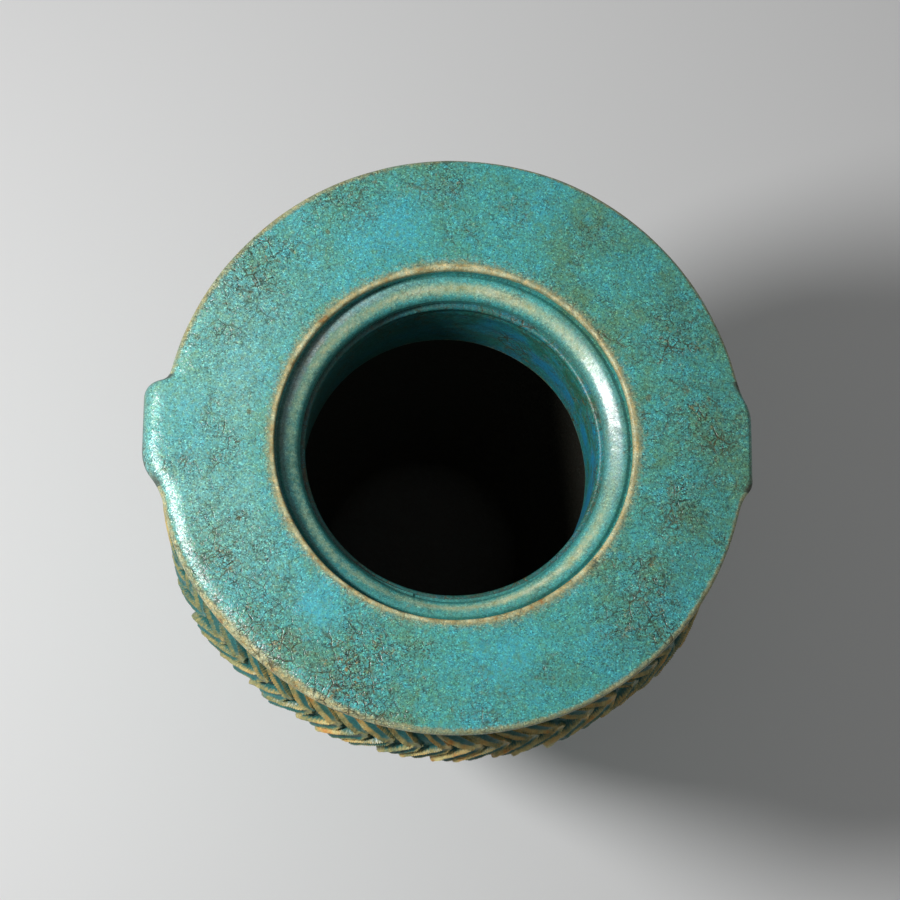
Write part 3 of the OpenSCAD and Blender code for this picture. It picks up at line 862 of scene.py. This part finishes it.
def make_collar():
    low_r, bead = COLLAR_LOW_EDGE, COLLAR_BEAD
    outline = section(
        path((NECK_R + low_r, COLLAR_LOW), ((NECK_R + 7, COLLAR_LOW), 2),
             ((COLLAR_OUT_R, SHOULDER_Z - WALL), 3), ((COLLAR_OUT_R, SHOULDER_Z), 3),
             ((FLANGE_R, SHOULDER_Z), 3), ((FLANGE_R, RIM_LOW), 1.5), ((NECK_R + bead, RIM_LOW), 3)),
        arc((NECK_R + bead, RIM_LOW - bead), bead, 90, 180, 7),
        path((NECK_R, RIM_LOW - bead), ((NECK_R, COLLAR_LOW + low_r), 0.5)),
        arc((NECK_R + low_r, COLLAR_LOW + low_r), low_r, 180, 270, 5))
    grid = ring_points(outline, MOUTH_COLUMNS)
    radius = radius_of(grid)
    bore = (radius < NECK_R + 0.9) * ease(RIM_LOW, RIM_LOW - 1.5, grid[..., 2])
    flat = grid * np.array([0.25, 0.25, 1.0])
    throwing = 0.16 * fractal(flat, 4.5, 2, shift=3) + 0.10 * fractal(grid, 12, 2)
    below_bead = 0.35 * bell(grid[..., 2], RIM_LOW - 3.2, 1.2)
    grid = raised(grid, bore * (throwing - below_bead))
    z = grid[..., 2]
    low_edge = bell(z, COLLAR_LOW, 1.0) * bore
    bead_top = bell(z, RIM_LOW - 0.6, 1.2) * (radius < NECK_R + 1.2)
    # Painted light and shade: a brighter, bluer tone on the lamp-lit side, the dark pooled tone on the
    # unlit side and deeper in the bore.
    lit = bell(signed(clock_of(grid)), COLLAR_LIT_AT, 58)
    painted_lit_blue = lit * (0.18 + 1.9 * fractal(grid, 10, shift=12))
    painted_lit_blue = (painted_lit_blue * ease(RIM_LOW - 3, RIM_LOW - 9, z)).clip(0, 1)
    dirt = (0.45 + 0.9 * fractal(grid, 14, shift=21)).clip(0, 1)
    depth = np.maximum(ease(RIM_LOW - 6, COLLAR_LOW, z), 0.9 * (1 - lit))
    fields = {"worn": np.maximum(low_edge * 0.50, bead_top * 0.05),
              "pool": 0.30 * depth + 0.5 * (1 - lit), "clear": painted_lit_blue, "stain": dirt * 0.6}
    ring_piece("collar_finish", grid, fields, "mouth_glaze", "neck_collar")


# Body shells

BODY_COLUMNS = 720
INNER_STEP = 4
BOWL_DISH_H = 10
FOOT_TOE = 2.5


def shell_fields(grid, outside):
    worn = outside * (0.10 + 0.34 * fractal(grid, 34, shift=5))
    # Painted shade: the inside of the jar gets the dark pooled tone and dark brown, so it is nearly
    # black.
    hidden = (1 - outside) * 0.9
    return {"worn": np.clip(worn, 0, 1), "pool": hidden, "soot": hidden,
            "stain": (0.15 + 0.6 * fractal(grid, 28, shift=17)).clip(0, 1)}


def relief_shell(name, outline, seams, node, maker=ring_piece):
    """A shell with the potter's uneven surface, kept true at its seams and inside."""
    grid = ring_points(outline, BODY_COLUMNS)
    outside = ease(WALL * 0.65, WALL * 0.45, body_r(grid[..., 2]) - radius_of(grid))
    free = outside
    for seam in seams:
        free = free * ease(0.2, 2.5, np.abs(grid[..., 2] - seam))
    flat = grid * np.array([0.3, 0.3, 1.0])
    uneven = 0.14 * fractal(flat, 7, 2, shift=6) + 0.16 * fractal(grid, 26) + 0.04 * fractal(grid, 4, 2)
    grid = raised(grid, free * uneven)
    maker(name, grid, shell_fields(grid, outside), "body_glaze", node)


def band_z(node):
    low, high = node_box(node)
    return low.z, high.z


def make_shoulder():
    cord_low, cord_high = band_z("cord_shoulder")
    band_low, band_high = band_z("garland_shoulder")
    lap_r = wall_point(JOINT_HIGH, WALL / 2)[0] + SLIP
    hole_r = COLLAR_OUT_R + SLIP
    ceiling = SHOULDER_Z - WALL
    turn_z = WIDEST_Z - 4
    turn_r = wall_point(turn_z, WALL)[0]
    a = np.radians(np.arange(80, -1, -8))
    inner_turn = np.stack([hole_r + (turn_r - hole_r) * np.cos(a) ** 0.8,
                           turn_z + (ceiling - turn_z) * np.sin(a) ** 0.8], -1)
    top = crown(band_high)
    top = top[top[:, 0] > hole_r + 0.2]
    outline = section(
        wall_run(JOINT_HIGH, cord_low), wall_run(cord_low, cord_high, CORD_SEAT),
        wall_run(cord_high, band_low), wall_run(band_low, band_high, BAND_SEAT), top,
        path((hole_r, SHOULDER_Z), ((hole_r, ceiling), 3)), inner_turn,
        wall_run(turn_z, JOINT_HIGH + LAP_H, WALL, INNER_STEP), (lap_r, JOINT_HIGH + LAP_H),
        (lap_r, JOINT_HIGH))
    seams = (JOINT_HIGH, cord_low, cord_high, band_low, band_high)
    relief_shell("shoulder_finish", outline, seams, "shoulder_wall")


def make_belly():
    seats = ((band_z("cord_calyx"), CORD_SEAT), (band_z("cord_belly_low"), CORD_SEAT),
             (band_z("garland_belly"), BAND_SEAT), (band_z("cord_belly_top"), CORD_SEAT))
    low_lap = wall_point(JOINT_LOW, WALL / 2)[0] + SLIP
    high_lap = wall_point(JOINT_HIGH, WALL / 2)[0]
    runs, seams, z = [], [JOINT_LOW, JOINT_HIGH], JOINT_LOW
    for (low, high), depth in seats:
        runs += [wall_run(z, low), wall_run(low, high, depth)]
        seams += [low, high]
        z = high
    outline = section(
        *runs, wall_run(z, JOINT_HIGH), (high_lap, JOINT_HIGH), (high_lap, JOINT_HIGH + LAP_H),
        wall_point(JOINT_HIGH + LAP_H, WALL),
        wall_run(JOINT_HIGH, JOINT_LOW + LAP_H, WALL, INNER_STEP), (low_lap, JOINT_LOW + LAP_H),
        (low_lap, JOINT_LOW))
    relief_shell("belly_finish", outline, seams, "belly_wall")


def make_bowl():
    low, high = band_z("calyx_petals")
    lap_r = wall_point(JOINT_LOW, WALL / 2)[0]
    inner_z = FLOOR_Z + BOWL_DISH_H
    inner_r = wall_point(inner_z, WALL)[0]
    a = np.radians(np.linspace(10, 90, 9))
    dish = np.stack([inner_r * np.cos(a), inner_z - BOWL_DISH_H * np.sin(a)], -1)
    dish[-1, 0] = 0
    boss_r = FOOT_BORE_R - SLIP
    outline = section(
        (0, BOSS_LOW), path((3, BOSS_LOW), ((boss_r, BOSS_LOW), 3)), (boss_r, FOOT_H),
        wall_run(FOOT_H, low), wall_run(low, high, BAND_SEAT), wall_run(high, JOINT_LOW),
        (lap_r, JOINT_LOW), (lap_r, JOINT_LOW + LAP_H), wall_point(JOINT_LOW + LAP_H, WALL),
        wall_run(JOINT_LOW, inner_z, WALL, INNER_STEP), dish)
    relief_shell("bowl_finish", outline, (FOOT_H, low, high, JOINT_LOW), "lower_bowl", dish_piece)


def make_foot():
    toe_r = FOOT_R - FOOT_TOE
    cove = (FOOT_R + 1, FOOT_H + 1)
    outline = section(
        path((FOOT_BORE_R, 0), ((toe_r, 0), 2)), arc((toe_r, FOOT_TOE), FOOT_TOE, -90, 60, 10),
        arc(cove, cove[0] - WAIST_R, 232, 187, 14),
        path((WAIST_R, FOOT_H), ((FOOT_BORE_R, FOOT_H), 3), ((FOOT_BORE_R, 0), 3)))
    grid = ring_points(outline, BODY_COLUMNS)
    radius = radius_of(grid)
    free = ease(0.0, 2.0, grid[..., 2]) * ease(FOOT_H, FOOT_H - 2, grid[..., 2])
    free = free * (radius > FOOT_BORE_R + 1)
    uneven = 0.16 * fractal(grid, 15) + 0.05 * fractal(grid, 4, 2)
    grid = raised(grid, free * uneven)
    worn = bell(radius, FOOT_R - 0.6, 2.2) * (0.6 + 0.5 * fractal(grid, 12, 2))
    worn = np.maximum(worn, (grid[..., 2] < 0.3) * 0.9)
    pool = ease(FOOT_H - 6, FOOT_H, grid[..., 2]) * 0.5
    ring_piece("foot_finish", grid, {"worn": worn, "pool": pool},
               "body_glaze", "foot_ring")


# Garlands, petals and cords

BAND_ROWS = 56
LEAF_HALF_W = 2.3
LEAF_FLARE = 1.5
GARLAND_CALM_AT = 214
PETALS = 16
PETAL_COLUMNS = 60
PETAL_RELIEF = 1.9
# Painted shade on the bands' hidden backs.
HIDDEN_BACK_SHADE = 0.8

# Where the shoulder's garland is rubbed down beside the lugs: azimuth and width in degrees.
RUBBED = ((183, 20), (346, 19))


def leaf_field(u, w, pitch, reach_low, reach_high, count, rng):
    """Height from 0 to 1 of two rows of overlapping laurel leaves, and the hollow in each leaf.

    u counts leaves round the band, w is the distance in millimetres above the spine, and the tips
    point clockwise."""
    def vary(mean, deviation):
        return mean + deviation * rng.standard_normal(count)

    height, hollow = np.zeros_like(u), np.zeros_like(u)
    for side, reach in ((-1, reach_low), (1, reach_high)):
        lean = vary(1.75, 0.16)
        length = reach * vary(0.97, 0.06)
        width = LEAF_HALF_W * vary(1, 0.12)
        shift = vary(0, 0.08)
        lift = vary(1, 0.20)
        across = side * w
        for offset in range(-1, 4):
            k = (np.floor(u).astype(int) + offset) % count
            back = (np.floor(u) + offset + shift[k] - u) * pitch
            ax, ay = lean[k] * pitch, length[k]
            size = np.hypot(ax, ay)
            along = (back * ax + across * ay) / size**2
            aside = (back * ay - across * ax) / size
            aside = aside + 1.1 * (along - 0.5) ** 2
            point = np.clip(along, 0, 1)
            half = width[k] * (0.70 + 0.40 * point) * np.sqrt(np.clip(1 - point**6, 0, 1))
            half = np.maximum(half, 1e-3)
            s = np.abs(aside) / half
            rise = lift[k] * (0.18 + 0.82 * point**1.6) * (1 - 0.35 * ease(0.80, 1.0, point))
            body = ease(1.08, 0.60, s) * (0.60 * rise + 0.10)
            lip = 0.30 * bell(s, 0.78, 0.17) * ease(-0.02, 0.12, along)
            there = (along > -0.04) & (along < 1) & (across > -0.6) & (s < 1.1)
            here = np.where(there, body + lip, 0)
            inner = ease(0.64, 0.36, np.abs(aside / half + 0.18))
            inner = inner * ease(0.02, 0.18, along) * ease(1.0, 0.86, along)
            hollow = np.where(here > height, inner, hollow)
            height = np.maximum(height, here)
    return height, hollow


def band_piece(name, grid, fields, node):
    """A relief band whose fields stop at its hidden back, which gets the dark pooled tone as painted
    shade.
    """
    back = np.zeros((len(grid) - BAND_ROWS, grid.shape[1]))
    fields = {key: np.concatenate([value, back + (HIDDEN_BACK_SHADE if key == "pool" else 0)])
              for key, value in fields.items()}
    ring_piece(name, grid, fields, "relief_glaze", node)


def make_garland(node, leaves, per_leaf, relief, spine_share, seed):
    z_low, z_high = band_z(node)
    spine = z_low + (z_high - z_low) * spine_share
    z = np.linspace(z_low, z_high, 240)
    wall = np.stack([body_r(z), z], -1)
    run = np.concatenate([[0], np.cumsum(np.linalg.norm(np.diff(wall, axis=0), axis=1))])
    s = np.linspace(0, run[-1], BAND_ROWS)
    outline = np.stack([np.interp(s, run, wall[:, 0]), np.interp(s, run, wall[:, 1])], -1)
    w_row = s - np.interp(spine, z, run)
    inner_z = np.linspace(z_high, z_low, 5)
    inner = np.stack([body_r(inner_z) - BAND_SEAT + 0.3, inner_z], -1)
    count = leaves * per_leaf
    grid = ring_points(np.vstack([outline, inner]), count)
    face = grid[:BAND_ROWS]
    w, u = np.meshgrid(w_row, np.arange(count) / per_leaf, indexing="ij")
    pitch = 2 * math.pi * float(outline[:, 0].mean()) / leaves
    bend = 0.35 * fractal(face, 22, 2, shift=7)
    height, hollow = leaf_field(u + bend * 0.2, w + bend, pitch, -w_row[0], w_row[-1], leaves,
                                np.random.default_rng(seed))
    edge = ease(0, 0.8, w - w_row[0]) * ease(0, 0.8, w_row[-1] - w)
    cuts = fractal(face, 2.6, shift=1)
    clock = clock_of(face)
    rubbed = 1
    for azimuth, width in RUBBED:
        rubbed = rubbed - 0.85 * bell(clock, azimuth, width, 4)
    flare = LEAF_FLARE * ease(w_row[-1], -2, w) * ease(w_row[0], w_row[0] + 2.5, w)
    lift = relief * rubbed * height * (1 + 0.16 * cuts) * (0.45 + 0.55 * edge) + flare * rubbed
    lift = lift - 0.35 * (1 - ease(0, 0.2, height)) * edge
    face += grid_normals(grid)[:BAND_ROWS] * lift[..., None]
    solid = ease(0.10, 0.30, height)
    worn = solid * (1 - 0.95 * hollow) * (0.72 + 0.6 * fractal(face, 6, shift=3))
    worn = worn * (1 - 0.42 * bell(clock, GARLAND_CALM_AT, 26))
    crest = ease(0.55, 0.85, height) * (1 - hollow) * (0.70 + 0.9 * fractal(face, 9, 2, shift=19))
    in_hollow = 0.55 * hollow * (1 + fractal(face, 6, 2, shift=23))
    fields = {"worn": worn, "pool": np.maximum((1 - solid) * 0.75, in_hollow), "crest": crest.clip(0, 1)}
    band_piece(node + "_finish", grid, fields, node)


def petal(side, top, shorten):
    """Height of a rounded petal, with a rib and a raised border, 1 wide and shorten high."""
    top = top / shorten
    half = np.where(top < 0.55, 0.98, 0.98 * np.sqrt(np.clip((1 - top) / 0.45, 0, 1)))
    s = side / np.maximum(half, 1e-3)
    body = np.sqrt(np.clip(1 - s**2, 0, 1)) * (top < 1)
    rib = 0.25 * bell(side, 0, 0.10) * ease(1.0, 0.7, top)
    border = 0.22 * bell(s, 0.86, 0.10) * (top < 1)
    return body * 0.75 + (rib + border) * (body > 0)


def make_calyx():
    z_low, z_high = band_z("calyx_petals")
    count = PETALS * PETAL_COLUMNS
    z = np.linspace(z_low, z_high, BAND_ROWS)
    inner_z = np.linspace(z_high, z_low, 6)
    outline = np.stack([np.concatenate([body_r(z), body_r(inner_z) - BAND_SEAT + SLIP]),
                        np.concatenate([z, inner_z])], -1)
    grid = ring_points(outline, count)
    face = grid[:BAND_ROWS]
    h, u = np.meshgrid((z - z_low) / (z_high - z_low), np.arange(count) / PETAL_COLUMNS, indexing="ij")
    front = petal(np.abs(u % 1 - 0.5) * 2, h, 0.985)
    behind = petal(np.abs((u + 0.5) % 1 - 0.5) * 2, h, 0.93) * 0.45
    height = np.maximum(front, behind)
    edge = ease(0, 0.03, h) * ease(0, 0.02, 1 - h)
    lift = PETAL_RELIEF * height * edge * (1 + 0.15 * fractal(face, 5, 2)) - 0.3 * (height < 0.05) * edge
    face += grid_normals(grid)[:BAND_ROWS] * lift[..., None]
    worn = ease(0.72, 1.05, height) * (0.6 + 0.6 * fractal(face, 11))
    pool = (1 - ease(0.05, 0.5, height)) * 0.8
    band_piece("calyx_finish", grid, {"worn": worn, "pool": pool}, "calyx_petals")


def make_cord(node):
    z_low, z_high = band_z(node)
    half = (z_high - z_low) / 2
    middle = (z_low + z_high) / 2
    middle_r = float(body_r(middle))
    a = np.radians(np.linspace(-90, 90, 15))
    lean = float(body_r(z_high) - body_r(z_low)) / (2 * half)
    bow = np.stack([middle_r + half * np.cos(a) + half * np.sin(a) * lean, middle + half * np.sin(a)], -1)
    outline = section(wall_point(z_low, CORD_SEAT - SLIP), bow, wall_point(z_high, CORD_SEAT - SLIP))
    grid = ring_points(outline, BODY_COLUMNS * 2)
    proud = ease(0, half, radius_of(grid) - middle_r + 0.4)
    uneven = 0.18 * fractal(grid, 7) + 0.08 * fractal(grid, 2.5, 2)
    grid = raised(grid, proud * uneven)
    worn = proud * (0.50 + 0.9 * fractal(grid, 14, shift=5))
    ring_piece(node + "_finish", grid, {"worn": worn, "pool": (1 - proud) * 0.7},
               "relief_glaze", node)


make_rim()
make_ledge()
make_collar()
make_shoulder()
make_belly()
make_bowl()
make_foot()
make_garland("garland_shoulder", leaves=64, per_leaf=25, relief=3.9, spine_share=0.605, seed=5)
make_garland("garland_belly", leaves=56, per_leaf=28, relief=3.2, spine_share=0.5, seed=6)
make_calyx()
for cord_node in ("cord_shoulder", "cord_belly_top", "cord_belly_low", "cord_calyx"):
    make_cord(cord_node)


# Floor, lights and camera

FLOOR_HALF = 3.0
FLOOR_GREY = 0.80
KEY_PLACE = (-0.43, -0.022, 0.640)
KEY_AIM = (0, 0, 0.12)
KEY_SIZE = 0.15
KEY_POWER = 4.1
FILL = 0.20


def make_floor():
    mesh = bpy.data.meshes.new("floor")
    corners = [(x * FLOOR_HALF, y * FLOOR_HALF, 0) for x, y in ((-1, -1), (1, -1), (1, 1), (-1, 1))]
    mesh.from_pydata(corners, [], [(0, 1, 2, 3)])
    material = bpy.data.materials.new("floor")
    material.use_nodes = True
    shader = material.node_tree.nodes["Principled BSDF"]
    shader.inputs["Base Color"].default_value = (FLOOR_GREY,) * 3 + (1,)
    shader.inputs["Roughness"].default_value = 0.9
    shader.inputs["Specular IOR Level"].default_value = 0.1
    mesh.materials.append(material)
    floor = add_object("floor", mesh)


def make_lights():
    lamp = bpy.data.lights.new("key", "AREA")
    lamp.shape = "DISK"
    lamp.size = KEY_SIZE
    lamp.energy = KEY_POWER
    key = add_object("key", lamp)
    key.location = KEY_PLACE
    aim = Vector(KEY_AIM) - key.location
    key.rotation_euler = aim.to_track_quat("-Z", "Y").to_euler()
    world = bpy.data.worlds.new("studio")
    world.use_nodes = True
    world.node_tree.nodes["Background"].inputs["Color"].default_value = (1, 1, 1, 1)
    world.node_tree.nodes["Background"].inputs["Strength"].default_value = FILL
    bpy.context.scene.world = world


# The camera looks down steeply from the front left and keeps the picture's top along +Y.
CAMERA_TILT = math.radians(13.49)
CAMERA_TURN = math.radians(-16.43)
CAMERA_FAR = 10 * RIM_R * MM
LENS_MM = 117.52
SENSOR_MM = 36
PHOTO_PX = 900

# The rim's centre from the middle of the picture, as shares of its width.
RIM_RIGHT = 5.1 / PHOTO_PX
RIM_UP = 8.1 / PHOTO_PX


def make_camera():
    toward = Vector((math.sin(CAMERA_TILT) * math.sin(CAMERA_TURN),
                     -math.sin(CAMERA_TILT) * math.cos(CAMERA_TURN), math.cos(CAMERA_TILT)))
    rim_top = Vector((0, 0, JAR_H * MM))
    place = rim_top + toward * CAMERA_FAR
    right = (-toward).cross(Vector((0, 1, 0))).normalized()
    above = toward.cross(right)
    view_width = CAMERA_FAR * SENSOR_MM / LENS_MM
    target = rim_top - right * RIM_RIGHT * view_width - above * RIM_UP * view_width
    back = (place - target).normalized()
    right = Vector((0, 1, 0)).cross(back).normalized()
    above = back.cross(right)
    data = bpy.data.cameras.new("camera")
    data.lens = LENS_MM
    data.sensor_width = SENSOR_MM
    camera = add_object("camera", data)
    rotation = Matrix((right, above, back)).transposed()
    camera.matrix_world = Matrix.Translation(place) @ rotation.to_4x4()
    bpy.context.scene.camera = camera


make_floor()
make_lights()
make_camera()
bpy.context.scene.view_settings.view_transform = "Standard"
